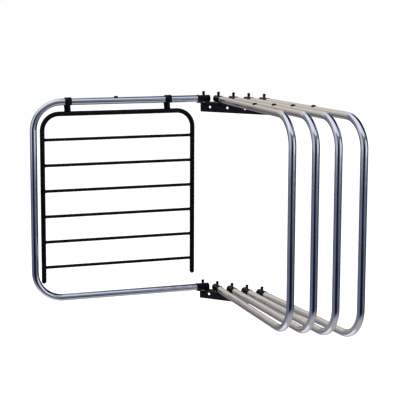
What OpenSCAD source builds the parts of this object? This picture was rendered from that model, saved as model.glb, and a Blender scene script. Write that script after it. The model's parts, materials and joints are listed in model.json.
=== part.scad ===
// Wall-mounted swing-frame rack: five chrome tube loops that swing on vertical
// pins in two steel angle brackets, with a ladder panel hung over the first arm.
// Millimetres. +X runs right along the wall, +Y into the wall, +Z up. The origin
// is the centre of the upper bracket's row of holes, on the wall's face.

/* [Loops] */
// Height between the centrelines of a loop's two arms
loop_h = 900; // [880:10:1100]
// Reach from the pin's axis to the upright's centreline
reach = 800; // [790:10:900]
// Outside diameter of the chrome tube
tube_d = 32; // [30:0.5:32]
// Wall thickness of the chrome tube
tube_wall = 1.5; // [1.2:0.1:2]
// Centreline radius of a loop's two bends
bend_r = 127; // [100:1:150]
// Distance from one hinge pin to the next
pin_pitch = 76; // [70:1:90]

/* [Hinges] */
// Diameter of a hinge pin
pin_d = 12; // [10:0.5:12]
// Height of a pin's top above the arm's axis
pin_rise = 34; // [26:1:40]
// Diameter of a knuckle's round body
knuckle_d = 34; // [34:0.5:36]
// Length of a knuckle's body beyond the pin
knuckle_back = 30; // [24:1:34]
// Length of a knuckle's body from the pin towards the tube
knuckle_front = 27; // [20:1:30]

/* [Brackets] */
// Length of a bracket along the wall
bracket_l = 364; // [350:2:380]
// Width of each leg of the angle
leg_w = 50; // [45:1:50]
// Thickness of the angle
leg_t = 5; // [4:0.5:6]
// Distance from the wall to the pins
pin_out = 35; // [35:1:38]
// Diameter of a wall hole
hole_d = 12; // [8:0.5:14]
// Distance from one wall hole to the next
hole_pitch = 88.9; // [80:0.1:90]

/* [Ladder] */
// Distance between the centrelines of the ladder's legs
ladder_w = 705; // [600:1:710]
// Depth from the arm's axis to the lower end of the legs
ladder_drop = 830; // [800:5:840]
// Outside diameter of the ladder's tube
ladder_tube_d = 22; // [18:0.5:24]
// Centreline radius of the ladder's two corners
ladder_bend_r = 76; // [60:1:90]
// Diameter of a rung
rung_d = 14; // [8:0.5:14]
// Distance from one rung to the next
rung_pitch = 117; // [100:0.1:120]

/* [Hidden] */
$fn = 96;

BLACK = [0.05, 0.05, 0.06];
SATIN_BLACK = [0.13, 0.12, 0.15];
CHROME = [0.78, 0.80, 0.84];
NYLON = [0.80, 0.78, 0.70];

// Rest angle of each loop from straight out, positive to the right.
swing = [-47.2, 46, 47.8, 49.3, 51.7];
pins = [0:4];

// Heights from the row of wall holes in the upper bracket.
hole_drop = 26;                             // shelf's top down to the holes
shelf_gap = knuckle_d / 2;                  // arm's axis above the shelf's top
arm_z = hole_drop + shelf_gap;              // upper arms' axis
lower_arm_z = arm_z - loop_h;               // lower arms' axis
washer_t = 1.4;
knuckle_flat = shelf_gap - washer_t - 0.15; // arm's axis down to the lower flat
knuckle_crown = 15.5;                       // arm's axis up to the upper flat
bush_d = 14;
bush_gap = 0.05;                            // running clearance round a pin
spigot_l = 38;
spigot_gap = 0.05;
lip_d = knuckle_d + 3;
lip_l = 7;                                  // collar over the end of the tube
cap_d = 14.5;
cap_h = 9;
nut_w = 19;                                 // across flats
nut_h = 10;
button_r = 420;                             // stop button's distance from the pin
button_d = 21;
rivet_d = 6;
rivet_at = knuckle_front + 24;              // cross rivet's distance from the pin
ladder_top = 53.5;                            // arm's axis down to the hoop's top
ladder_mid = 407.5;                           // hoop's middle, from the pin
first_rung = 170;                           // arm's axis down to the first rung
hook_w = 30;
hook_t = 4;
hook_gap = 0.35;                            // hook's clearance round the arm
hook_offset = 234;                          // hooks either side of the middle
hook_tip = 14;                              // return leg below the arm's axis
hook_seat = 1;                              // depth the hoop's tube is let into a hook
leg_end = ladder_drop - 12;                 // tube's cut end above the foot cap

function pin_x(i) = (i - 2) * pin_pitch;

// Places children at pin i on the arm's axis at height z, turned with the loop.
// The arm runs along -Y and the loop's right-hand side is +X.
module at_arm(i, z) {
    translate([pin_x(i), -pin_out, z]) rotate([0, 0, swing[i]]) children();
}

// Places children upright at pin i without turning.
module at_pin(i, z) {
    translate([pin_x(i), -pin_out, z]) children();
}

// A cylinder whose axis is X, starting at the origin.
module rod_x(r, l) {
    rotate([0, 90, 0]) cylinder(r = r, h = l);
}

// A cylinder whose axis is -Y, starting at the origin.
module rod_out(r, l) {
    rotate([90, 0, 0]) cylinder(r = r, h = l);
}

// Angle with its shelf on top, five pin holes and four wall holes, carrying the
// arms at height z. Its back lies on the wall's face.
module bracket(z) {
    corner = 5;
    color(SATIN_BLACK) translate([0, 0, z - shelf_gap]) difference() {
        rotate([90, 0, 90]) linear_extrude(bracket_l, center = true) difference() {
            translate([-leg_w, -leg_w]) square(leg_w);
            translate([-leg_w, -leg_w]) square([leg_w - leg_t - corner, leg_w - leg_t]);
            translate([-leg_w, -leg_w]) square([leg_w - leg_t, leg_w - leg_t - corner]);
            translate([-leg_t - corner, -leg_t - corner]) circle(corner);
        }
        for (i = pins) at_pin(i, -leg_t - 1) cylinder(d = pin_d, h = leg_t + 2);
        for (k = [-1.5, -0.5, 0.5, 1.5])
            translate([k * hole_pitch, 1, -hole_drop]) rod_out(hole_d / 2, leg_t + 2);
    }
}

// Pin with a rounded top; its lower end passes the shelf and the nut.
module pin(i, z) {
    below = shelf_gap + leg_t + nut_h + 3;
    top = pin_rise - 2;
    color(BLACK) at_pin(i, z) rotate_extrude() difference() {
        translate([0, -below]) square([pin_d / 2, below + top]);
        translate([pin_d / 2, -below]) rotate(45) square(1.6, center = true);
        translate([pin_d / 2, top]) rotate(45) square(2.2, center = true);
    }
}

// Domed caps pushed over the tops of one bracket's pins.
module pin_caps(z) {
    color(BLACK) for (i = pins) at_pin(i, z + pin_rise - cap_h) difference() {
        rotate_extrude() {
            square([cap_d / 2 - 2.5, cap_h]);
            square([cap_d / 2, cap_h - 2.5]);
            translate([cap_d / 2 - 2.5, cap_h - 2.5]) intersection() {
                circle(2.5);
                square(3);
            }
        }
        translate([0, 0, -1]) cylinder(d = pin_d, h = cap_h - 1);
    }
}

module pin_nuts(z) {
    color(BLACK) for (i = pins) at_pin(i, z - shelf_gap - leg_t - nut_h) difference() {
        cylinder(d = nut_w / cos(30), h = nut_h, $fn = 6);
        translate([0, 0, -1]) cylinder(d = pin_d, h = nut_h + 2);
    }
}

module washers(z) {
    color(NYLON) for (i = pins) at_pin(i, z - shelf_gap) difference() {
        cylinder(d = 26, h = washer_t);
        translate([0, 0, -1]) cylinder(d = pin_d, h = washer_t + 2);
    }
}

// Chrome tube bent into a C, open at both ends.
module tube_loop(i) {
    straight = reach - bend_r - knuckle_front;
    upright = loop_h - 2 * bend_r;
    module wall() {
        difference() {
            circle(d = tube_d);
            circle(d = tube_d - 2 * tube_wall);
        }
    }
    module quarter() {
        translate([0, -reach + bend_r, -bend_r]) rotate([0, 90, 0]) rotate([0, 0, 180])
            rotate_extrude(angle = 90) translate([bend_r, 0]) wall();
    }
    module arm() {
        translate([0, -knuckle_front, 0]) rotate([90, 0, 0]) linear_extrude(straight) wall();
    }
    color(CHROME) at_arm(i, arm_z) difference() {
        union() {
            arm();
            quarter();
            translate([0, -reach, -bend_r - upright]) linear_extrude(upright) wall();
            translate([0, 0, -loop_h]) mirror([0, 0, 1]) quarter();
            translate([0, 0, -loop_h]) arm();
        }
        // hole for the stop button and holes for the knuckles' rivets
        translate([0, -button_r, 0]) cylinder(d = 8, h = tube_d);
        for (z = [0, -loop_h]) translate([-tube_d, -rivet_at, z]) rod_x(rivet_d / 2, 2 * tube_d);
    }
}

// Round end fitting: a body over the pin, a collar round the tube's end and a
// spigot inside the tube.
module knuckle(i, z) {
    color(BLACK) at_arm(i, z) difference() {
        union() {
            difference() {
                translate([0, knuckle_back, 0]) rotate([90, 0, 0]) rotate_extrude() {
                    length = knuckle_back + knuckle_front;
                    round = 4;
                    square([knuckle_d / 2 - round, length]);
                    translate([0, round]) square([knuckle_d / 2, length - round]);
                    translate([knuckle_d / 2 - round, round]) circle(round);
                }
                translate([-knuckle_d, -knuckle_front - 1, knuckle_crown])
                    cube([2 * knuckle_d, knuckle_back + knuckle_front + 2, knuckle_d]);
                translate([-knuckle_d, -knuckle_front - 1, -knuckle_flat - knuckle_d])
                    cube([2 * knuckle_d, knuckle_back + knuckle_front + 2, knuckle_d]);
            }
            translate([0, -knuckle_front + 2, 0]) difference() {
                rod_out(lip_d / 2, lip_l);
                translate([0, -2, 0]) rod_out(tube_d / 2, lip_l);
                translate([-knuckle_d, -2 - lip_l, -knuckle_flat - knuckle_d])
                    cube([2 * knuckle_d, lip_l + 4, knuckle_d]);
            }
            translate([0, -knuckle_front, 0])
                rod_out(tube_d / 2 - tube_wall - spigot_gap, spigot_l);
        }
        translate([0, 0, -knuckle_d]) cylinder(d = bush_d, h = 2 * knuckle_d);
        translate([-tube_d, -rivet_at, 0]) rod_x(rivet_d / 2, 2 * tube_d);
    }
}

// Flanged bushes of one loop: a sleeve in each knuckle, round the pin.
module bushes(i) {
    color(NYLON) for (z = [arm_z, lower_arm_z]) at_pin(i, z - knuckle_flat) difference() {
        cylinder(d = bush_d, h = knuckle_flat + knuckle_crown);
        translate([0, 0, -1]) cylinder(d = pin_d + 2 * bush_gap, h = 2 * knuckle_d);
    }
}

// Rivets across the tube that hold the two spigots of one loop.
module knuckle_rivets(i) {
    head_d = 10;
    head_t = 1.2;
    color(CHROME) for (z = [arm_z, lower_arm_z]) at_arm(i, z) translate([0, -rivet_at, 0]) {
        translate([-tube_d / 2 - 0.5, 0, 0]) rod_x(rivet_d / 2, tube_d + 1);
        for (side = [0, 180]) rotate([0, 0, side]) difference() {
            rod_x(head_d / 2, tube_d / 2 + head_t);
            rotate([90, 0, 0]) cylinder(d = tube_d, h = tube_d, center = true);
        }
    }
}

// Domed button plugged into the top of the arm.
module stop_button(i) {
    dome = 4.5;
    color(BLACK) at_arm(i, arm_z) translate([0, -button_r, 0]) difference() {
        union() {
            translate([0, 0, tube_d / 2 - 4]) cylinder(d = 8, h = 4.5);
            translate([0, 0, tube_d / 2 - 5]) cylinder(d = button_d, h = 6);
            translate([0, 0, tube_d / 2 + 1]) rotate_extrude() intersection() {
                translate([0, -(pow(button_d / 2, 2) - pow(dome, 2)) / (2 * dome)])
                    circle(r = (pow(button_d / 2, 2) + pow(dome, 2)) / (2 * dome));
                square([button_d / 2, dome]);
            }
        }
        difference() {
            rotate([90, 0, 0]) cylinder(d = tube_d, h = 2 * button_d, center = true);
            cylinder(d = 8, h = tube_d);
        }
    }
}

// Places children in the ladder's frame: under the middle of its hooks, with
// z = 0 on the first arm's axis.
module at_ladder() {
    at_arm(0, arm_z) translate([0, -ladder_mid, 0]) children();
}

// Upside-down U of tube with open feet.
module ladder_hoop() {
    half = ladder_w / 2;
    leg = leg_end - ladder_top - ladder_bend_r;
    module wall() {
        difference() {
            circle(d = ladder_tube_d);
            circle(d = ladder_tube_d - 3);
        }
    }
    color(BLACK) at_ladder() union() {
        translate([0, half - ladder_bend_r, -ladder_top]) rotate([90, 0, 0])
            linear_extrude(ladder_w - 2 * ladder_bend_r) wall();
        for (side = [0, 180]) rotate([0, 0, side]) {
            translate([0, -half + ladder_bend_r, -ladder_top - ladder_bend_r])
                rotate([0, 90, 0]) rotate([0, 0, 180])
                rotate_extrude(angle = 90) translate([ladder_bend_r, 0]) wall();
            translate([0, -half, -leg_end]) linear_extrude(leg) wall();
        }
    }
}

// Round bar between the legs, coped to them at both ends.
module ladder_rung(k) {
    color(BLACK) at_ladder() translate([0, 0, -first_rung - (k - 1) * rung_pitch]) difference() {
        translate([0, ladder_w / 2, 0]) rod_out(rung_d / 2, ladder_w);
        for (side = [-1, 1]) translate([0, side * ladder_w / 2, 0])
            cylinder(d = ladder_tube_d, h = 4 * rung_d, center = true);
    }
}

// Flat bar bent over the arm, joggled inwards and welded to the side of the
// hoop's top so that the ladder hangs straight under the arm.
module ladder_hook(side) {
    inner = tube_d / 2 + hook_gap;
    outer = inner + hook_t;
    face = ladder_tube_d / 2 - hook_seat;
    bend_top = 20;
    bend_low = 38;
    tail = ladder_top + 6;
    color(BLACK) at_ladder() translate([0, side * hook_offset + hook_w / 2, 0]) difference() {
        rotate([90, 0, 0]) linear_extrude(hook_w) {
            difference() {
                circle(outer);
                circle(inner);
                translate([-outer - 1, -2 * outer]) square([2 * outer + 2, 2 * outer]);
            }
            polygon([
                [inner, 0], [inner, -bend_top], [face, -bend_low], [face, -tail],
                [face + hook_t, -tail], [face + hook_t, -bend_low], [outer, -bend_top], [outer, 0]
            ]);
            translate([-outer, -hook_tip]) square([hook_t, hook_tip]);
        }
        translate([0, hook_w, -ladder_top]) rod_out(ladder_tube_d / 2, 3 * hook_w);
    }
}

// Rounded caps in the ends of the ladder's legs.
module ladder_feet() {
    foot_r = ladder_tube_d / 2;
    color(BLACK) at_ladder() for (side = [-1, 1])
        translate([0, side * ladder_w / 2, -leg_end]) rotate_extrude() {
            square([foot_r - 1.55, 14]);
            translate([0, -1]) square([foot_r, 1]);
            translate([0, -1]) intersection() {
                circle(foot_r);
                translate([0, -foot_r]) square(foot_r);
            }
        }
}

bracket(arm_z);  // upper_bracket
bracket(lower_arm_z);  // lower_bracket
for (i = pins) {
    pin(i, arm_z);
    pin(i, lower_arm_z);
    tube_loop(i);
    knuckle(i, arm_z);
    knuckle(i, lower_arm_z);
    bushes(i);
    knuckle_rivets(i);
    stop_button(i);
}
pin_caps(arm_z);  // upper_pin_caps
pin_caps(lower_arm_z);  // lower_pin_caps
pin_nuts(arm_z);  // upper_pin_nuts
pin_nuts(lower_arm_z);  // lower_pin_nuts
washers(arm_z);  // upper_washers
washers(lower_arm_z);  // lower_washers
ladder_hoop();
for (k = [1:6]) ladder_rung(k);
ladder_hook(1);  // ladder_hook_inner
ladder_hook(-1);  // ladder_hook_outer
ladder_feet();
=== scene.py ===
import json
import math

import bmesh
import bpy
from mathutils import Matrix, Vector, noise


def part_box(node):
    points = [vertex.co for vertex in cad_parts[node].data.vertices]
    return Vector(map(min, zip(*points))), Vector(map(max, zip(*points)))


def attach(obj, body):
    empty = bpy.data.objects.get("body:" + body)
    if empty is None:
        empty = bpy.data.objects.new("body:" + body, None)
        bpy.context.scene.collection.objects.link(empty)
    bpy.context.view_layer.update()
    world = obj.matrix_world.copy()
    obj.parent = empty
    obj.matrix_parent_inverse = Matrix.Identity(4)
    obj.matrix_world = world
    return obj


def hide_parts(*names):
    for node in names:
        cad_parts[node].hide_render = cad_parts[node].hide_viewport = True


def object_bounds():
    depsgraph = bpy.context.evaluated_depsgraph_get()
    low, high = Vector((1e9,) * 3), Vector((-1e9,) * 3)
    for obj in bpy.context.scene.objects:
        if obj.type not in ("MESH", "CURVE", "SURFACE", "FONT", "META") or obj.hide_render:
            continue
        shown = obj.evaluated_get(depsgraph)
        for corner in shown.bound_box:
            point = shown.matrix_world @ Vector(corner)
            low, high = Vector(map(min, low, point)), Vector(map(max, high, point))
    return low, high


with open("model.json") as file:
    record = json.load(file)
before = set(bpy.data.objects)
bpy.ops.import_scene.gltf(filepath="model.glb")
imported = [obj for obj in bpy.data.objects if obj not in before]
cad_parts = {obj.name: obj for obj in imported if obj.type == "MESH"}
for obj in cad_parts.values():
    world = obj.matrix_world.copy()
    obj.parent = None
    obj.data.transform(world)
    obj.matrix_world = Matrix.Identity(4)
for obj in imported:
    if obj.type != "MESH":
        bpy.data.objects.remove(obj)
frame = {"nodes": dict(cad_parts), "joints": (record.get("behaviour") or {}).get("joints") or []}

CAD_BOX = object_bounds()
MM = 0.001
UP = Vector((0, 0, 1))

# ---------------------------------------------------------------- sizes from the frame
JOINTS = {j["name"]: j for j in frame["joints"]}
NUMBERS = range(1, 6)
RUNGS = range(1, 7)


def middle(node):
    """Centre of a node's box."""
    low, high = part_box(node)
    return (low + high) / 2


def width(node, axis):
    """Size of a node's box along an axis."""
    low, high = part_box(node)
    return (high - low)[axis]


ARM_Z = JOINTS["frame_1_swing"]["pos_m"][2]
TUBE_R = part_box("loop_1")[1].z - ARM_Z
LOW_ARM_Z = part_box("loop_1")[0].z + TUBE_R
PIN_R = width("upper_pin_1", 0) / 2
SHELF_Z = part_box("upper_bracket")[1].z
SHELF_DROP = ARM_Z - SHELF_Z
LEG_W = width("upper_bracket", 2)
BRACKET_L = width("upper_bracket", 0)
BUSH_R = 7 * MM
CAP_R = 7.25 * MM
NUT_T = 9.9 * MM
RIVET_HEAD_R = 5 * MM
RIVET_PROUD = 1.2 * MM
KNUCKLE_R = 17 * MM
KNUCKLE_BACK = 30 * MM
KNUCKLE_FRONT = 27 * MM
KNUCKLE_CROWN = 15.5 * MM
KNUCKLE_FLAT = 15.45 * MM
COLLAR_L = 7 * MM
COLLAR_PROUD = 1.5 * MM
GROOVE_IN = 11 * MM
GROOVE_W = 1.6 * MM
GROOVE_DEEP = 0.5 * MM
BEND_R = 127 * MM
LADDER_R = 11 * MM
LADDER_BEND_R = 76 * MM
LADDER_DROP = ARM_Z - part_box("ladder_hoop")[1].z + LADDER_R
LADDER_FOOT = ARM_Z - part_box("ladder_hoop")[0].z
RUNG_R = width("ladder_rung_1", 2) / 2
HOOK_W = 30 * MM
HOOK_T = 4 * MM
HOLE_R = 6 * MM
HOLE_PITCH = 88.9 * MM
LEG_T = 5 * MM


class Arm:
    """Where one loop's pin stands and which way its arms point."""

    def __init__(self, number):
        self.pin = Vector(JOINTS[f"frame_{number}_swing"]["pos_m"])
        out = middle(f"stop_button_{number}") - self.pin
        self.button_at = Vector((out.x, out.y, 0)).length
        self.out = Vector((out.x, out.y, 0)).normalized()
        self.side = UP.cross(-self.out)
        self.reach = self.span(f"loop_{number}")[1] - TUBE_R

    def span(self, node):
        """A node's nearest and farthest distance from the pin along the arm."""
        along = [self.out.dot(v.co - self.pin) for v in frame["nodes"][node].data.vertices]
        return min(along), max(along)

    def matrix(self, z):
        """Local frame: +X to the loop's right, -Y along the arm, at height z."""
        turn = Matrix((self.side, -self.out, UP)).transposed().to_4x4()
        return Matrix.Translation((self.pin.x, self.pin.y, z)) @ turn


ARMS = {n: Arm(n) for n in NUMBERS}


# ---------------------------------------------------------------- mesh building
def ring_points(centre, across, upward, radius, count):
    """A circle of points round centre in the plane of two unit vectors."""
    turns = [2 * math.pi * k / count for k in range(count)]
    return [centre + radius * (math.cos(t) * across + math.sin(t) * upward) for t in turns]


def skin(rings, closed=False):
    """A mesh through rings of equal length, in order."""
    bm = bmesh.new()
    rows = [[bm.verts.new(p) for p in ring] for ring in rings]
    count = len(rows[0])
    pairs = list(zip(rows, rows[1:])) + ([(rows[-1], rows[0])] if closed else [])
    for a, b in pairs:
        for k in range(count):
            bm.faces.new((a[k], a[(k + 1) % count], b[(k + 1) % count], b[k]))
    if not closed:
        caps = [bm.faces.new(list(reversed(rows[0]))), bm.faces.new(rows[-1])]
        for cap in caps:
            cap.normal_update()
        bmesh.ops.triangulate(bm, faces=caps, ngon_method="EAR_CLIP")
    bmesh.ops.recalc_face_normals(bm, faces=bm.faces)
    return bm


def lathe(profile, count=48):
    """A turned solid about +Z from (radius, height) pairs. A zero radius closes an end."""
    bm = bmesh.new()
    rows = []
    for radius, height in profile:
        here = Vector((0, 0, height))
        if radius < 1e-7:
            rows.append([bm.verts.new(here)])
        else:
            rows.append([bm.verts.new(p) for p in ring_points(
                here, Vector((1, 0, 0)), Vector((0, 1, 0)), radius, count)])
    for a, b in zip(rows, rows[1:]):
        for k in range(count):
            n = (k + 1) % count
            if len(a) == 1:
                bm.faces.new((a[0], b[n], b[k]))
            elif len(b) == 1:
                bm.faces.new((a[k], a[n], b[0]))
            else:
                bm.faces.new((a[k], a[n], b[n], b[k]))
    bmesh.ops.recalc_face_normals(bm, faces=bm.faces)
    return bm


def rod(radius):
    """A plain round cutter along Z, longer than anything it passes through."""
    reach = 40 * MM
    return lathe([(0, -reach), (radius, -reach), (radius, reach), (0, reach)])


def turned_ring(profile, count=48):
    """A turned ring about +Z whose (radius, height) outline closes on itself."""
    rings = [
        [Vector((r * math.cos(t), r * math.sin(t), h)) for r, h in profile]
        for t in (2 * math.pi * k / count for k in range(count))
    ]
    return skin(rings, closed=True)


def arc(centre, radius, start, end, steps):
    """Points (x, y) of an arc, angles in degrees, both ends included."""
    angles = [math.radians(start + (end - start) * k / steps) for k in range(steps + 1)]
    return [(centre[0] + radius * math.cos(a), centre[1] + radius * math.sin(a)) for a in angles]


def merge(*meshes):
    """One mesh out of several."""
    whole = bmesh.new()
    for bm in meshes:
        data = bpy.data.meshes.new("part")
        bm.to_mesh(data)
        bm.free()
        whole.from_mesh(data)
        bpy.data.meshes.remove(data)
    return whole


def moved(bm, matrix):
    """The same mesh, placed."""
    bmesh.ops.transform(bm, matrix=matrix, verts=bm.verts)
    return bm


def piece(name, bm, material, body, nodes=(), smooth=40):
    """Makes a finished piece that rides on a body and stands for CAD nodes."""
    data = bpy.data.meshes.new(name)
    bm.to_mesh(data)
    bm.free()
    obj = bpy.data.objects.new(name, data)
    bpy.context.scene.collection.objects.link(obj)
    data.polygons.foreach_set("use_smooth", [True] * len(data.polygons))
    data.set_sharp_from_angle(angle=math.radians(smooth))
    data.materials.append(material)
    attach(obj, body)
    if nodes:
        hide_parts(*nodes)
    return obj


def apply_modifiers(obj):
    """Writes an object's modifiers into its mesh."""
    graph = bpy.context.evaluated_depsgraph_get()
    data = bpy.data.meshes.new_from_object(obj.evaluated_get(graph))
    obj.modifiers.clear()
    obj.data = data


def cut(bm, cutters):
    """Cuts solids out of a mesh and gives the result."""
    scene = bpy.context.scene.collection
    data = bpy.data.meshes.new("work")
    bm.to_mesh(data)
    bm.free()
    obj = bpy.data.objects.new("work", data)
    scene.objects.link(obj)
    tools = []
    for tool in cutters:
        tool_data = bpy.data.meshes.new("cutter")
        tool.to_mesh(tool_data)
        tool.free()
        knife = bpy.data.objects.new("cutter", tool_data)
        scene.objects.link(knife)
        tools.append(knife)
        step = obj.modifiers.new("cut", "BOOLEAN")
        step.operation = "DIFFERENCE"
        step.solver = "EXACT"
        step.object = knife
    bpy.context.view_layer.update()
    apply_modifiers(obj)
    out = bmesh.new()
    out.from_mesh(obj.data)
    for knife in tools + [obj]:
        bpy.data.objects.remove(knife)
    bmesh.ops.remove_doubles(out, verts=out.verts, dist=1e-6)
    return out


# ---------------------------------------------------------------- materials
def new_material(name):
    """A node material, its tree's parts and its shader."""
    material = bpy.data.materials.new(name)
    material.use_nodes = True
    nodes = material.node_tree.nodes
    return material, nodes, material.node_tree.links, nodes["Principled BSDF"]


def add_noise(nodes, links, scale, detail=4.0):
    """Noise in the piece's own coordinates, in cycles a metre."""
    where = nodes.new("ShaderNodeTexCoord")
    texture = nodes.new("ShaderNodeTexNoise")
    texture.inputs["Scale"].default_value = scale
    texture.inputs["Detail"].default_value = detail
    links.new(where.outputs["Object"], texture.inputs["Vector"])
    return texture.outputs["Fac"]


def remap(nodes, links, source, low, high, to_low, to_high):
    """A noise value stretched to a range."""
    step = nodes.new("ShaderNodeMapRange")
    step.inputs["From Min"].default_value = low
    step.inputs["From Max"].default_value = high
    step.inputs["To Min"].default_value = to_low
    step.inputs["To Max"].default_value = to_high
    links.new(source, step.inputs["Value"])
    return step.outputs["Result"]


def tint(nodes, links, factor, first, second):
    """Two colours mixed by a factor."""
    mix = nodes.new("ShaderNodeMix")
    mix.data_type = "RGBA"
    mix.inputs["A"].default_value = (*first, 1)
    mix.inputs["B"].default_value = (*second, 1)
    links.new(factor, mix.inputs["Factor"])
    return mix.outputs["Result"]


def bump(nodes, links, height, shader, distance, strength=1.0):
    """Fine relief from a noise value."""
    step = nodes.new("ShaderNodeBump")
    step.inputs["Distance"].default_value = distance
    step.inputs["Strength"].default_value = strength
    links.new(height, step.inputs["Height"])
    links.new(step.outputs["Normal"], shader.inputs["Normal"])


def chrome():
    """Bright plate over polished tube, with faint smears and a slightly uneven polish."""
    material, nodes, links, shader = new_material("chrome_plate")
    shader.inputs["Metallic"].default_value = 1.0
    cloud = add_noise(nodes, links, 9, 3)
    smear = add_noise(nodes, links, 60, 5)
    links.new(tint(nodes, links, remap(nodes, links, cloud, 0.3, 0.7, 0, 1),
                   (0.80, 0.82, 0.86), (0.88, 0.89, 0.91)), shader.inputs["Base Color"])
    links.new(remap(nodes, links, smear, 0.35, 0.75, 0.05, 0.13), shader.inputs["Roughness"])
    bump(nodes, links, add_noise(nodes, links, 25, 2), shader, 0.1 * MM, 0.25)
    return material


def black_coat(name, dark, light, roughness, grain, depth, shine):
    """Black paint with an orange-peel surface and rubbed patches."""
    material, nodes, links, shader = new_material(name)
    rub = add_noise(nodes, links, 30, 6)
    patch = remap(nodes, links, rub, 0.45, 0.75, 0, 1)
    links.new(tint(nodes, links, patch, dark, light), shader.inputs["Base Color"])
    links.new(remap(nodes, links, rub, 0.3, 0.7, roughness - 0.06, roughness + 0.08),
              shader.inputs["Roughness"])
    shader.inputs["Specular IOR Level"].default_value = shine
    bump(nodes, links, add_noise(nodes, links, grain, 2), shader, depth, 0.6)
    return material


def worn_metal(name, dark, light, roughness, scale):
    """Bare or plated steel with a clouded finish."""
    material, nodes, links, shader = new_material(name)
    shader.inputs["Metallic"].default_value = 1.0
    cloud = add_noise(nodes, links, scale, 5)
    links.new(tint(nodes, links, remap(nodes, links, cloud, 0.35, 0.65, 0, 1), dark, light),
              shader.inputs["Base Color"])
    links.new(remap(nodes, links, cloud, 0.3, 0.7, roughness - 0.08, roughness + 0.1),
              shader.inputs["Roughness"])
    bump(nodes, links, add_noise(nodes, links, 900, 2), shader, 0.02 * MM, 0.5)
    return material


def nylon():
    """Natural nylon, slightly translucent."""
    material, nodes, links, shader = new_material("nylon")
    cloud = add_noise(nodes, links, 200, 3)
    links.new(tint(nodes, links, cloud, (0.66, 0.63, 0.54), (0.76, 0.74, 0.66)),
              shader.inputs["Base Color"])
    shader.inputs["Roughness"].default_value = 0.45
    bump(nodes, links, add_noise(nodes, links, 1500, 2), shader, 0.02 * MM, 0.4)
    return material


CHROME = chrome()
LADDER_PAINT = black_coat("ladder_powder_coat", (0.0015, 0.0015, 0.002), (0.004, 0.004, 0.0045),
                          0.24, 420, 0.03 * MM, 0.17)
BRACKET_PAINT = black_coat("bracket_paint", (0.008, 0.006, 0.009), (0.014, 0.011, 0.016),
                           0.42, 150, 0.12 * MM, 0.12)
PLASTIC = black_coat("moulded_black", (0.002, 0.002, 0.003), (0.005, 0.005, 0.006),
                     0.30, 700, 0.03 * MM, 0.15)
PIN_STEEL = worn_metal("black_oxide", (0.015, 0.015, 0.017), (0.035, 0.035, 0.038), 0.34, 160)
NYLON = nylon()


# ---------------------------------------------------------------- chrome loops
def loop_path(arm):
    """Centreline of a C-shaped loop in the arm's frame at the upper arm's height."""
    drop = ARM_Z - LOW_ARM_Z
    start, corner, outer = -KNUCKLE_FRONT, -(arm.reach - BEND_R), -arm.reach
    straight_steps, bend_steps = 24, 40
    top = [Vector((0, start + (corner - start) * k / straight_steps, 0))
           for k in range(straight_steps)]
    bend = [Vector((0, y, z)) for y, z in
            arc((corner, -BEND_R), BEND_R, 90, 180, bend_steps)]
    upright = [Vector((0, outer, -BEND_R - (drop - 2 * BEND_R) * k / straight_steps))
               for k in range(1, straight_steps)]
    half = top + bend
    mirrored = [Vector((0, p.y, -drop - p.z)) for p in reversed(half)]
    return half + upright + mirrored


def sweep(path, radius, count=48, squeeze=None):
    """A round tube along a path that lies in the plane x = 0."""
    rings = []
    for k, here in enumerate(path):
        before, after = path[max(k - 1, 0)], path[min(k + 1, len(path) - 1)]
        along = (after - before).normalized()
        across = Vector((1, 0, 0))
        out = across.cross(along)
        flat = squeeze(k) if squeeze else 0
        rings.append([
            here + (p - here) - out * out.dot(p - here) * flat
            for p in ring_points(here, across, out, radius, count)
        ])
    return skin(rings)


def make_loop(number):
    """Bent tube, very slightly flattened in its two bends as bent tube is."""
    arm = ARMS[number]
    path = loop_path(arm)
    drop = ARM_Z - LOW_ARM_Z

    def squeeze(k):
        """Share of the tube's depth lost at a point of the path."""
        p = path[k]
        in_bend = 1 if p.y < -(arm.reach - BEND_R) + 1e-6 else 0
        height = min(-p.z, drop + p.z) / BEND_R
        return 0.03 * in_bend * max(0.0, math.sin(math.pi * min(max(height, 0), 1) ** 0.7))

    bm = moved(sweep(path, TUBE_R, 64, squeeze), arm.matrix(ARM_Z))
    return piece(f"chrome_loop_{number}", bm, CHROME, f"frame_{number}",
                 [f"loop_{number}"], smooth=60)


# ---------------------------------------------------------------- end fittings
def soft_limit(value, limit, blend):
    """value, eased onto a flat at limit."""
    excess = value - (limit - blend)
    if excess <= 0:
        return value
    return limit - blend + blend * (1 - math.exp(-excess / blend))


def knuckle_section(radius, y, top, bottom, count=72):
    """Ring across the arm: a circle with flats at the top and bottom."""
    points = []
    for k in range(count):
        t = 2 * math.pi * k / count
        x, z = radius * math.cos(t), radius * math.sin(t)
        z = soft_limit(z, top, 0.6 * MM) if z > 0 else -soft_limit(-z, bottom, 0.6 * MM)
        points.append(Vector((x, y, z)))
    return points


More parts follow.
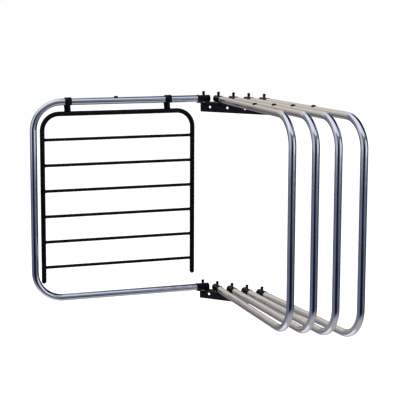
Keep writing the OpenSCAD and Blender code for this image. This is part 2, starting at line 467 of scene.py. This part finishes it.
def knuckle_body():
    """Moulded fitting along the arm from its closed far end to its collar."""
    r, lip, valley = KNUCKLE_R, KNUCKLE_R + COLLAR_PROUD, KNUCKLE_R - GROOVE_DEEP
    round_r = 4 * MM
    stations = [(0.001 * MM, KNUCKLE_BACK)]
    stations += [(r - round_r + radius, KNUCKLE_BACK - round_r + y)
                 for radius, y in reversed(arc((0, 0), round_r, 0, 90, 8))]
    for groove in (KNUCKLE_BACK - GROOVE_IN, -KNUCKLE_FRONT + GROOVE_IN):
        stations += [(r, groove + GROOVE_W / 2), (valley, groove + GROOVE_W / 4),
                     (valley, groove - GROOVE_W / 4), (r, groove - GROOVE_W / 2)]
    collar = -KNUCKLE_FRONT + 2 * MM
    stations += [(r, collar + 0.4 * MM), (lip - 0.5 * MM, collar), (lip, collar - 0.6 * MM),
                 (lip, collar - COLLAR_L + 0.7 * MM), (lip - 0.7 * MM, collar - COLLAR_L),
                 (TUBE_R + 0.02 * MM, collar - COLLAR_L)]
    rings = []
    for radius, y in stations:
        top = KNUCKLE_CROWN if radius <= r + 1e-9 else KNUCKLE_CROWN + COLLAR_PROUD
        scale = min(1.0, radius / (r - round_r)) if radius < r - round_r else 1.0
        rings.append(knuckle_section(radius, y, top * scale + (1 - scale) * MM,
                                     KNUCKLE_FLAT * scale + (1 - scale) * MM))
    return skin(rings)


def make_knuckle(number, level, z):
    """Moulded fitting on one end of a loop, bored for its bush."""
    arm = ARMS[number]
    bm = moved(cut(knuckle_body(), [rod(BUSH_R)]), arm.matrix(z))
    return piece(f"end_fitting_{level}_{number}", bm, PLASTIC, f"frame_{number}",
                 [f"{level}_knuckle_{number}"], smooth=35)


def make_bushes(number):
    """Flush sleeves in both fittings, with a chamfered bore."""
    inner, outer = PIN_R + 0.05 * MM, BUSH_R
    chamfer = 0.4 * MM
    rings = []
    for z in (ARM_Z, LOW_ARM_Z):
        low, high = -KNUCKLE_FLAT, KNUCKLE_CROWN
        outline = [(inner, low + chamfer), (inner + chamfer, low), (outer - chamfer, low),
                   (outer, low + chamfer), (outer, high - chamfer), (outer - chamfer, high),
                   (inner + chamfer, high), (inner, high - chamfer)]
        pin = ARMS[number].pin
        rings.append(moved(turned_ring(outline), Matrix.Translation((pin.x, pin.y, z))))
    return piece(f"bush_pair_{number}", merge(*rings), NYLON, f"frame_{number}",
                 [f"bushes_{number}"], smooth=30)


def make_rivets(number):
    """Domed rivets across the tube behind the collars."""
    arm = ARMS[number]
    low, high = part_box(f"knuckle_rivets_{number}")
    at = arm.out.dot((low + high) / 2 - arm.pin)
    seat = TUBE_R - 1.2 * MM
    dome = [(RIVET_HEAD_R * out, TUBE_R + RIVET_PROUD * up)
            for out, up in ((0, 1), (0.45, 0.9), (0.8, 0.6), (1, 0.1))]
    dome += [(RIVET_HEAD_R, seat), (0, seat)]
    parts = []
    for z in (ARM_Z, LOW_ARM_Z):
        for side in (1, -1):
            turn = Matrix.Rotation(math.radians(90 * side), 4, "Y")
            parts.append(moved(lathe(dome, 32), arm.matrix(z)
                               @ Matrix.Translation((0, -at, 0)) @ turn))
    return piece(f"cross_rivets_{number}", merge(*parts), CHROME, f"frame_{number}",
                 [f"knuckle_rivets_{number}"], smooth=50)


def make_button(number):
    """Domed button with a thin flange, plugged into the arm's top."""
    arm = ARMS[number]
    low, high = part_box(f"stop_button_{number}")
    radius = (high - low).x / 2
    top = high.z - ARM_Z
    flange, skirt = TUBE_R + 1.2 * MM, TUBE_R - 4.5 * MM
    dome = [(radius * 0.94 * math.sin(t), flange + (top - flange) * math.cos(t))
            for t in (math.radians(90 * k / 12) for k in range(13))]
    profile = dome + [(radius - 0.3 * MM, flange), (radius, flange - 0.4 * MM),
                      (radius, skirt), (0, skirt)]
    bm = moved(lathe(profile, 40), arm.matrix(ARM_Z) @ Matrix.Translation((0, -arm.button_at, 0)))
    return piece(f"arm_stop_{number}", bm, PLASTIC, f"frame_{number}",
                 [f"stop_button_{number}"], smooth=35)


# ---------------------------------------------------------------- wall brackets
def angle_outline():
    """Section of the angle, (y, z) from its outer corner: rounded toes and root."""
    toe, root = 2.2 * MM, 5 * MM
    t, w, heel = LEG_T, LEG_W, 0.6 * MM
    points = arc((-heel, -heel), heel, 90, 0, 3)
    points += arc((-heel, -w + heel), heel, 0, -90, 3)
    points += arc((-t + toe, -w + toe), toe, -90, -180, 6)
    points += arc((-t - root, -t - root), root, 0, 90, 8)
    points += arc((-w + toe, -t + toe), toe, -90, -180, 6)
    points += arc((-w + heel, -heel), heel, 180, 90, 3)
    return points


def make_bracket(level, top):
    """Rolled angle with chamfered wall holes and pin holes."""
    half = BRACKET_L / 2
    edge = 0.3 * MM
    outline = angle_outline()

    def section(x, shrink):
        """The outline across the bracket, drawn in by shrink."""
        ring = []
        count = len(outline)
        for k, (y, z) in enumerate(outline):
            here = Vector((y, z))
            before, after = Vector(outline[k - 1]), Vector(outline[(k + 1) % count])
            along = (after - before).normalized()
            inward = Vector((along.y, -along.x))
            ring.append(Vector((x, here.x + inward.x * shrink, top + here.y + inward.y * shrink)))
        return ring

    bm = skin([section(-half, edge), section(-half + edge, 0),
               section(half - edge, 0), section(half, edge)])
    cutters = []
    deep = LEG_T + 1 * MM
    mouth = deep + 0.1 * MM
    hole = [(0, 1 * MM), (HOLE_R + 1.4 * MM, 1 * MM), (HOLE_R, -0.5 * MM),
            (HOLE_R, -deep + 0.9 * MM), (HOLE_R + 1.0 * MM, -mouth), (0, -mouth)]
    for k in (-1.5, -0.5, 0.5, 1.5):
        place = Matrix.Translation((k * HOLE_PITCH, 0, top - SHELF_Z))
        cutters.append(moved(lathe(hole, 48), place @ Matrix.Rotation(math.radians(-90), 4, "X")))
    for number in NUMBERS:
        pin = ARMS[number].pin
        shaft = [(0, 2 * MM), (PIN_R, 2 * MM), (PIN_R, -deep), (0, -deep)]
        cutters.append(moved(lathe(shaft, 40), Matrix.Translation((pin.x, pin.y, top))))
    return piece(f"angle_{level}", cut(bm, cutters), BRACKET_PAINT, "wall_mount",
                 [f"{level}_bracket"], smooth=32)


def make_pin(number, level, z):
    """Ground pin with a chamfered foot; its top is inside the cap."""
    low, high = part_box(f"{level}_pin_{number}")
    bottom, top = low.z - z, high.z - z
    chamfer = 1.1 * MM
    thread_r = PIN_R - 0.35 * MM
    pitch, below_nut = 1.5 * MM, -SHELF_DROP - LEG_T - NUT_T
    profile = [(0, bottom), (thread_r - chamfer, bottom), (thread_r, bottom + chamfer)]
    h = bottom + chamfer + 0.2 * MM
    while h + pitch < below_nut:
        profile += [(PIN_R - 0.9 * MM, h + pitch / 2), (thread_r, h + pitch)]
        h += pitch
    profile += [(PIN_R, below_nut), (PIN_R, top - chamfer), (PIN_R - chamfer, top), (0, top)]
    pin = ARMS[number].pin
    bm = moved(lathe(profile, 40), Matrix.Translation((pin.x, pin.y, z)))
    return piece(f"hinge_pin_{level}_{number}", bm, PIN_STEEL, "wall_mount",
                 [f"{level}_pin_{number}"], smooth=35)


def make_caps(level):
    """Domed plastic caps pushed over the pins' tops."""
    low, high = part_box(f"{level}_pin_caps")
    height = high.z - low.z
    bore, roof = PIN_R + 0.02 * MM, height - 2 * MM
    waist, crown = CAP_R - 0.35 * MM, 4.2 * MM
    profile = [(0, roof), (bore, roof), (bore, 0.3 * MM), (PIN_R + 0.3 * MM, 0),
               (CAP_R - 0.4 * MM, 0), (CAP_R, 0.5 * MM), (CAP_R, 1.6 * MM), (waist, 2.0 * MM)]
    profile += [(waist - crown + x, height - crown + y)
                for x, y in arc((0, 0), crown, 0, 90, 10)]
    profile.append((0, height))
    caps = []
    for number in NUMBERS:
        pin = ARMS[number].pin
        caps.append(moved(lathe(profile, 40), Matrix.Translation((pin.x, pin.y, low.z))))
    return piece(f"pin_tops_{level}", merge(*caps), PLASTIC, "wall_mount",
                 [f"{level}_pin_caps"], smooth=35)


def hex_nut(height, flats, bore):
    """Hexagon nut with both faces chamfered."""
    count, face_r = 72, flats / 2 * 0.97

    def corner(t):
        """Distance from the axis to the hexagon's side."""
        return flats / 2 / math.cos((t + math.pi / 6) % (math.pi / 3) - math.pi / 6)

    rings = []
    for t in (2 * math.pi * k / count for k in range(count)):
        r = corner(t)
        drop = (r - face_r) * math.tan(math.radians(30))
        outline = [(bore, 0.6 * MM), (bore + 0.6 * MM, 0), (face_r, 0), (r, drop),
                   (r, height - drop), (face_r, height), (bore + 0.6 * MM, height),
                   (bore, height - 0.6 * MM)]
        rings.append([Vector((q * math.cos(t), q * math.sin(t), h)) for q, h in outline])
    return skin(rings, closed=True)


def make_nuts(level):
    """Nuts under one bracket's shelf."""
    low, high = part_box(f"{level}_pin_nuts")
    flats = high.y - low.y
    nuts = [moved(hex_nut(high.z - low.z, flats, PIN_R),
                  Matrix.Translation((ARMS[n].pin.x, ARMS[n].pin.y, low.z))) for n in NUMBERS]
    return piece(f"nuts_{level}", merge(*nuts), PIN_STEEL, "wall_mount",
                 [f"{level}_pin_nuts"], smooth=25)


def make_washers(level):
    """Washers between one bracket's shelf and the fittings."""
    low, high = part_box(f"{level}_washers")
    outer, thick, soft = (high.y - low.y) / 2, high.z - low.z, 0.3 * MM
    outline = [(PIN_R, 0), (outer - soft, 0), (outer, soft), (outer, thick - soft),
               (outer - soft, thick), (PIN_R, thick)]
    rings = [moved(turned_ring(outline, 64),
                   Matrix.Translation((ARMS[n].pin.x, ARMS[n].pin.y, low.z))) for n in NUMBERS]
    return piece(f"thrust_washers_{level}", merge(*rings), NYLON, "wall_mount",
                 [f"{level}_washers"], smooth=30)


# ---------------------------------------------------------------- ladder panel
LADDER_ARM = ARMS[1]
HOOP_NEAR, HOOP_FAR = LADDER_ARM.span("ladder_hoop")
LADDER_MID = (HOOP_FAR + HOOP_NEAR) / 2
LADDER_HALF = (HOOP_FAR - HOOP_NEAR) / 2 - LADDER_R
LADDER_FRAME = LADDER_ARM.matrix(ARM_Z) @ Matrix.Translation((0, -LADDER_MID, 0))


def make_hoop():
    """Bent tube of the ladder: leg, corner, top, corner, leg."""
    leg_steps, bend_steps, top_steps = 20, 24, 16
    corner = LADDER_HALF - LADDER_BEND_R
    low = -LADDER_DROP - LADDER_BEND_R
    leg = [Vector((0, LADDER_HALF, -LADDER_FOOT + (LADDER_FOOT + low) * k / leg_steps))
           for k in range(leg_steps)]
    bend = [Vector((0, y, z)) for y, z in arc((corner, low), LADDER_BEND_R, 0, 90, bend_steps)]
    half = leg + bend
    top = [Vector((0, corner - 2 * corner * k / top_steps, -LADDER_DROP))
           for k in range(1, top_steps)]
    path = half + top + [Vector((0, -p.y, p.z)) for p in reversed(half)]
    return piece("ladder_tube", moved(sweep(path, LADDER_R, 48), LADDER_FRAME), LADDER_PAINT,
                 "ladder", ["ladder_hoop"], smooth=60)


def rung_depth(number):
    """How far a rung lies below the arm."""
    return ARM_Z - middle(f"ladder_rung_{number}").z


def make_rung(number):
    """Round bar whose ends follow the legs' surfaces."""
    depth, count = rung_depth(number), 32
    rings = []
    stations = [k / 12 for k in range(-12, 13)]
    for s in stations:
        ring = []
        for k in range(count):
            t = 2 * math.pi * k / count
            x, z = RUNG_R * math.cos(t), RUNG_R * math.sin(t)
            reach = LADDER_HALF - math.sqrt(LADDER_R ** 2 - x ** 2)
            ring.append(Vector((x, -s * reach, z - depth)))
        rings.append(ring)
    return piece(f"rung_{number}", moved(skin(rings), LADDER_FRAME), LADDER_PAINT, "ladder",
                 [f"ladder_rung_{number}"], smooth=60)


def weld_bead(route, radius, seed):
    """Rippled bead along a closed route of (point, outward) pairs."""
    rings = []
    count = len(route)
    for k, (here, outward) in enumerate(route):
        along = (route[(k + 1) % count][0] - route[k - 1][0]).normalized()
        other = along.cross(outward).normalized()
        ripple = 1 + 0.10 * math.sin(k * math.pi * 0.5) + 0.18 * noise.noise(here * 400 + seed)
        rings.append(ring_points(here, outward, other, radius * ripple, 10))
    return skin(rings, closed=True)


def rung_welds():
    """Beads round both ends of every rung."""
    beads = []
    steps = 48
    for number in RUNGS:
        depth = rung_depth(number)
        for end in (1, -1):
            route = []
            for k in range(steps):
                t = 2 * math.pi * k / steps
                x, z = RUNG_R * math.cos(t), RUNG_R * math.sin(t)
                y = end * (LADDER_HALF - math.sqrt(LADDER_R ** 2 - x ** 2) - 0.3 * MM)
                outward = Vector((math.cos(t), -0.4 * end, math.sin(t))).normalized()
                route.append((Vector((x, y, z - depth)), outward))
            beads.append(weld_bead(route, 1.5 * MM, Vector((number, end, 0))))
    return piece("rung_weld_beads", moved(merge(*beads), LADDER_FRAME), LADDER_PAINT, "ladder",
                 smooth=60)


def hook_outline():
    """Side view of a hook, (x, z): over the arm, joggled in to the hoop."""
    inner = TUBE_R + 0.35 * MM
    outer = inner + HOOK_T
    face = LADDER_R - 1 * MM
    tip, tail = -14 * MM, -LADDER_DROP - 6 * MM
    knee = 20 * MM
    heel = 38 * MM
    soft = 1.2 * MM
    outside = [(-outer, tip + soft)] + arc((0, 0), outer, 180, 0, 36)
    outside += [(outer, -knee + soft), (outer - 0.3 * MM, -knee - soft),
                (face + HOOK_T + 0.3 * MM, -heel + soft), (face + HOOK_T, -heel - soft),
                (face + HOOK_T, tail + soft), (face + HOOK_T - soft, tail)]
    inside = [(face, tail), (face, -heel - soft), (face + 0.3 * MM, -heel + soft),
              (inner - 0.3 * MM, -knee - soft), (inner, -knee + soft)]
    inside += arc((0, 0), inner, 0, 180, 36) + [(-inner, tip + soft * 0.5),
                                               (-inner - soft, tip), (-outer + soft, tip)]
    return outside + inside


def make_hook(name, end):
    """Flat bar with rolled edges, let into the hoop's tube where it is welded."""
    soft = 0.7 * MM
    outline = hook_outline()
    count = len(outline)

    def section(y, shrink):
        """The outline across the hook, drawn in by shrink."""
        ring = []
        for k, (x, z) in enumerate(outline):
            before, after = Vector(outline[k - 1]), Vector(outline[(k + 1) % count])
            along = (after - before).normalized()
            ring.append(Vector((x + along.y * shrink, y, z - along.x * shrink)))
        return ring

    half = HOOK_W / 2
    bm = skin([section(-half, soft), section(-half + 0.25 * soft, 0.35 * soft),
               section(-half + soft, 0), section(half - soft, 0),
               section(half - 0.25 * soft, 0.35 * soft), section(half, soft)])
    seat = moved(rod(LADDER_R), Matrix.Translation((0, 0, -LADDER_DROP))
                 @ Matrix.Rotation(math.pi / 2, 4, "X"))
    at = LADDER_ARM.out.dot(middle(name) - LADDER_ARM.pin) - LADDER_MID
    place = LADDER_FRAME @ Matrix.Translation((0, -at, 0))
    bm = moved(cut(bm, [seat]), place)
    piece(f"hanger_{end}", bm, LADDER_PAINT, "ladder", [name], smooth=35)
    return place


def hook_welds(places):
    """Straight beads along the tops of the hooks' seats and their sides."""
    beads = []
    for index, place in enumerate(places):
        half = HOOK_W / 2 + 0.4 * MM
        route = []
        steps = 40
        for k in range(steps):
            t = 2 * math.pi * k / steps
            y = half * max(-1, min(1, 1.25 * math.cos(t)))
            z = -LADDER_DROP + 5.2 * MM * max(-1, min(1, 1.25 * math.sin(t)))
            depth = math.sqrt(max(LADDER_R ** 2 - (z + LADDER_DROP) ** 2, 0))
            outward = Vector((0.8, 0.5 * y / half, 0.3 * math.sin(t))).normalized()
            route.append((Vector((depth, y, z)), outward))
        beads.append(moved(weld_bead(route, 1.3 * MM, Vector((index, 9, 0))), place))
    return piece("hook_weld_beads", merge(*beads), LADDER_PAINT, "ladder",
                 smooth=60)


def make_feet():
    """Rounded plastic ferrules in the open ends of the legs."""
    depth = ARM_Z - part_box("ladder_feet")[0].z
    cut_end = LADDER_FOOT
    dome = [(LADDER_R * math.cos(t), -(depth - LADDER_R) - LADDER_R * math.sin(t))
            for t in (math.radians(90 * k / 12) for k in range(13))]
    profile = [(0, -cut_end + 3 * MM), (LADDER_R - 2 * MM, -cut_end + 3 * MM),
               (LADDER_R - 2 * MM, -cut_end), (LADDER_R - 0.3 * MM, -cut_end),
               (LADDER_R, -cut_end - 0.3 * MM)] + dome[:-1] + [(0, -depth)]
    feet = [moved(lathe(profile, 40), LADDER_FRAME @ Matrix.Translation((0, s * LADDER_HALF, 0)))
            for s in (1, -1)]
    return piece("leg_ferrules", merge(*feet), PLASTIC, "ladder",
                 ["ladder_feet"], smooth=35)


# ---------------------------------------------------------------- assembly
LEVELS = (("upper", ARM_Z), ("lower", LOW_ARM_Z))
for number in NUMBERS:
    make_loop(number)
    make_bushes(number)
    make_rivets(number)
    make_button(number)
    for level, z in LEVELS:
        make_knuckle(number, level, z)
        make_pin(number, level, z)
for level, z in LEVELS:
    make_bracket(level, z - SHELF_DROP)
    make_caps(level)
    make_nuts(level)
    make_washers(level)
make_hoop()
for number in RUNGS:
    make_rung(number)
rung_welds()
hook_welds([make_hook("ladder_hook_inner", "inner"), make_hook("ladder_hook_outer", "outer")])
make_feet()


# ---------------------------------------------------------------- studio
def make_floor():
    """Plain pale floor under the rack."""
    size, drop = 14.0, 0.65
    bm = bmesh.new()
    bmesh.ops.create_grid(bm, x_segments=1, y_segments=1, size=size)
    data = bpy.data.meshes.new("floor")
    bm.to_mesh(data)
    bm.free()
    floor = bpy.data.objects.new("floor", data)
    bpy.context.scene.collection.objects.link(floor)
    floor.location = (0, 0, CAD_BOX[0].z - drop)
    floor.visible_glossy = False
    material, _, _, shader = new_material("pale_floor")
    shader.inputs["Base Color"].default_value = (0.9, 0.9, 0.9, 1)
    shader.inputs["Roughness"].default_value = 0.9
    shader.inputs["Emission Color"].default_value = (1, 1, 1, 1)
    shader.inputs["Emission Strength"].default_value = 0.75
    data.materials.append(material)


def make_world():
    """White to the camera; in reflections, a room of pale, dark and coloured patches."""
    world = bpy.data.worlds.new("studio")
    bpy.context.scene.world = world
    world.use_nodes = True
    nodes, links = world.node_tree.nodes, world.node_tree.links
    nodes.clear()
    where = nodes.new("ShaderNodeTexCoord").outputs["Generated"]

    def facing(direction, low, high):
        """0 to 1 as a ray turns towards a direction."""
        dot = nodes.new("ShaderNodeVectorMath")
        dot.operation = "DOT_PRODUCT"
        dot.inputs[1].default_value = Vector(direction).normalized()
        links.new(where, dot.inputs[0])
        step = nodes.new("ShaderNodeMapRange")
        step.interpolation_type = "SMOOTHSTEP"
        step.inputs["From Min"].default_value = low
        step.inputs["From Max"].default_value = high
        links.new(dot.outputs["Value"], step.inputs["Value"])
        return step.outputs["Result"]

    def over(base, colour, factor):
        """A colour laid over another by a factor."""
        mix = nodes.new("ShaderNodeMix")
        mix.data_type = "RGBA"
        if isinstance(base, tuple):
            mix.inputs["A"].default_value = (*base, 1)
        else:
            links.new(base, mix.inputs["A"])
        mix.inputs["B"].default_value = (*colour, 1)
        links.new(factor, mix.inputs["Factor"])
        return mix.outputs["Result"]

    def both(first, second):
        """Where two factors meet."""
        times = nodes.new("ShaderNodeMath")
        times.operation = "MULTIPLY"
        links.new(first, times.inputs[0])
        links.new(second, times.inputs[1])
        return times.outputs[0]

    up = (0, 0, 1)
    behind = facing((-0.64, 0.76, 0.1), 0.6, 0.75)
    level = facing(up, -0.17, -0.12)
    steep = facing((0, 0, -1), 0.17, 0.24)
    photographer = facing((0.45, -0.88, -0.2), 0.72, 0.85)
    patches = [
        ((0.17, 0.15, 0.17), behind),
        ((0.40, 0.34, 0.33), both(behind, facing(up, -0.08, 0.02))),
        ((0.24, 0.20, 0.19), both(behind, facing(up, 0.10, 0.13))),
        ((0.50, 0.46, 0.40), both(behind, facing(up, 0.19, 0.24))),
        ((0.66, 0.61, 0.53), both(behind, facing(up, 0.34, 0.40))),
        ((0.80, 0.86, 0.96), both(level, facing((0.99, -0.10, 0), 0.87, 0.94))),
        ((0.50, 0.53, 0.58), both(level, facing((-0.6, -0.8, 0), 0.78, 0.9))),
        ((0.02, 0.025, 0.05), facing((0.62, 0.76, 0), 0.78, 0.88)),
        ((0.66, 0.72, 0.85), facing((0.05, 0, 1), 0.56, 0.66)),
        ((0.012, 0.015, 0.03), facing((0.43, 0.65, 0.62), 0.72, 0.80)),
        ((0.85, 0.88, 0.95), facing((-0.35, -0.35, 0.9), 0.80, 0.88)),
        ((0.012, 0.015, 0.035), both(steep, photographer)),
        ((0.006, 0.008, 0.025), facing((0.25, -0.96, -0.1), 0.86, 0.95)),
        ((0.42, 0.40, 0.42), facing((0, 0.1, -1), 0.35, 0.8)),
        ((0.82, 0.82, 0.86), facing((-0.4, 0.05, -0.91), 0.88, 0.96)),
    ]
    colour = (0.13, 0.15, 0.21)
    for paint, factor in patches:
        colour = over(colour, paint, factor)
    seen = nodes.new("ShaderNodeBackground")
    seen.inputs["Color"].default_value = (1, 1, 1, 1)
    seen.inputs["Strength"].default_value = 1.0
    room = nodes.new("ShaderNodeBackground")
    links.new(colour, room.inputs["Color"])
    path = nodes.new("ShaderNodeLightPath")
    choose = nodes.new("ShaderNodeMixShader")
    out = nodes.new("ShaderNodeOutputWorld")
    links.new(path.outputs["Is Camera Ray"], choose.inputs["Fac"])
    links.new(room.outputs["Background"], choose.inputs[1])
    links.new(seen.outputs["Background"], choose.inputs[2])
    links.new(choose.outputs["Shader"], out.inputs["Surface"])


def make_light(name, location, target, size, power, colour):
    """Soft lamp that shows in no reflection."""
    data = bpy.data.lights.new(name, "AREA")
    data.shape = "RECTANGLE"
    data.size, data.size_y = size
    data.energy = power
    data.color = colour
    light = bpy.data.objects.new(name, data)
    bpy.context.scene.collection.objects.link(light)
    light.location = location
    aim = Vector(target) - Vector(location)
    light.rotation_euler = aim.to_track_quat("-Z", "Y").to_euler()
    light.visible_glossy = False


def make_camera():
    """The photograph's viewing angle, from the front right and a little above."""
    focal_px, image_px = 1153.1, 400
    heading, tilt, roll = -0.4368, -0.1302, -0.0039
    place = Vector((2.1016, -4.8995, 0.5484))
    data = bpy.data.cameras.new("camera")
    data.sensor_width = 36
    data.lens = data.sensor_width * focal_px / image_px
    data.shift_y = -0.15
    data.clip_start, data.clip_end = 0.05, 100
    camera = bpy.data.objects.new("camera", data)
    bpy.context.scene.collection.objects.link(camera)
    ahead = Vector((math.sin(heading) * math.cos(tilt), math.cos(heading) * math.cos(tilt),
                    math.sin(tilt)))
    right = Vector((math.cos(heading), -math.sin(heading), 0))
    down = ahead.cross(right)
    right, down = (math.cos(roll) * right + math.sin(roll) * down,
                   -math.sin(roll) * right + math.cos(roll) * down)
    turn = Matrix((right, -down, -ahead)).transposed().to_4x4()
    camera.matrix_world = Matrix.Translation(place) @ turn
    bpy.context.scene.camera = camera


make_floor()
make_world()
CENTRE = (CAD_BOX[0] + CAD_BOX[1]) / 2
make_light("overhead", (0.4, -1.2, 2.6), CENTRE, (3.0, 1.4), 45, (0.92, 0.96, 1.0))
make_light("left_soft", (-3.4, 0.8, 1.2), CENTRE, (1.6, 2.4), 30, (1.0, 0.96, 0.9))
make_camera()
bpy.context.scene.view_settings.view_transform = "Standard"
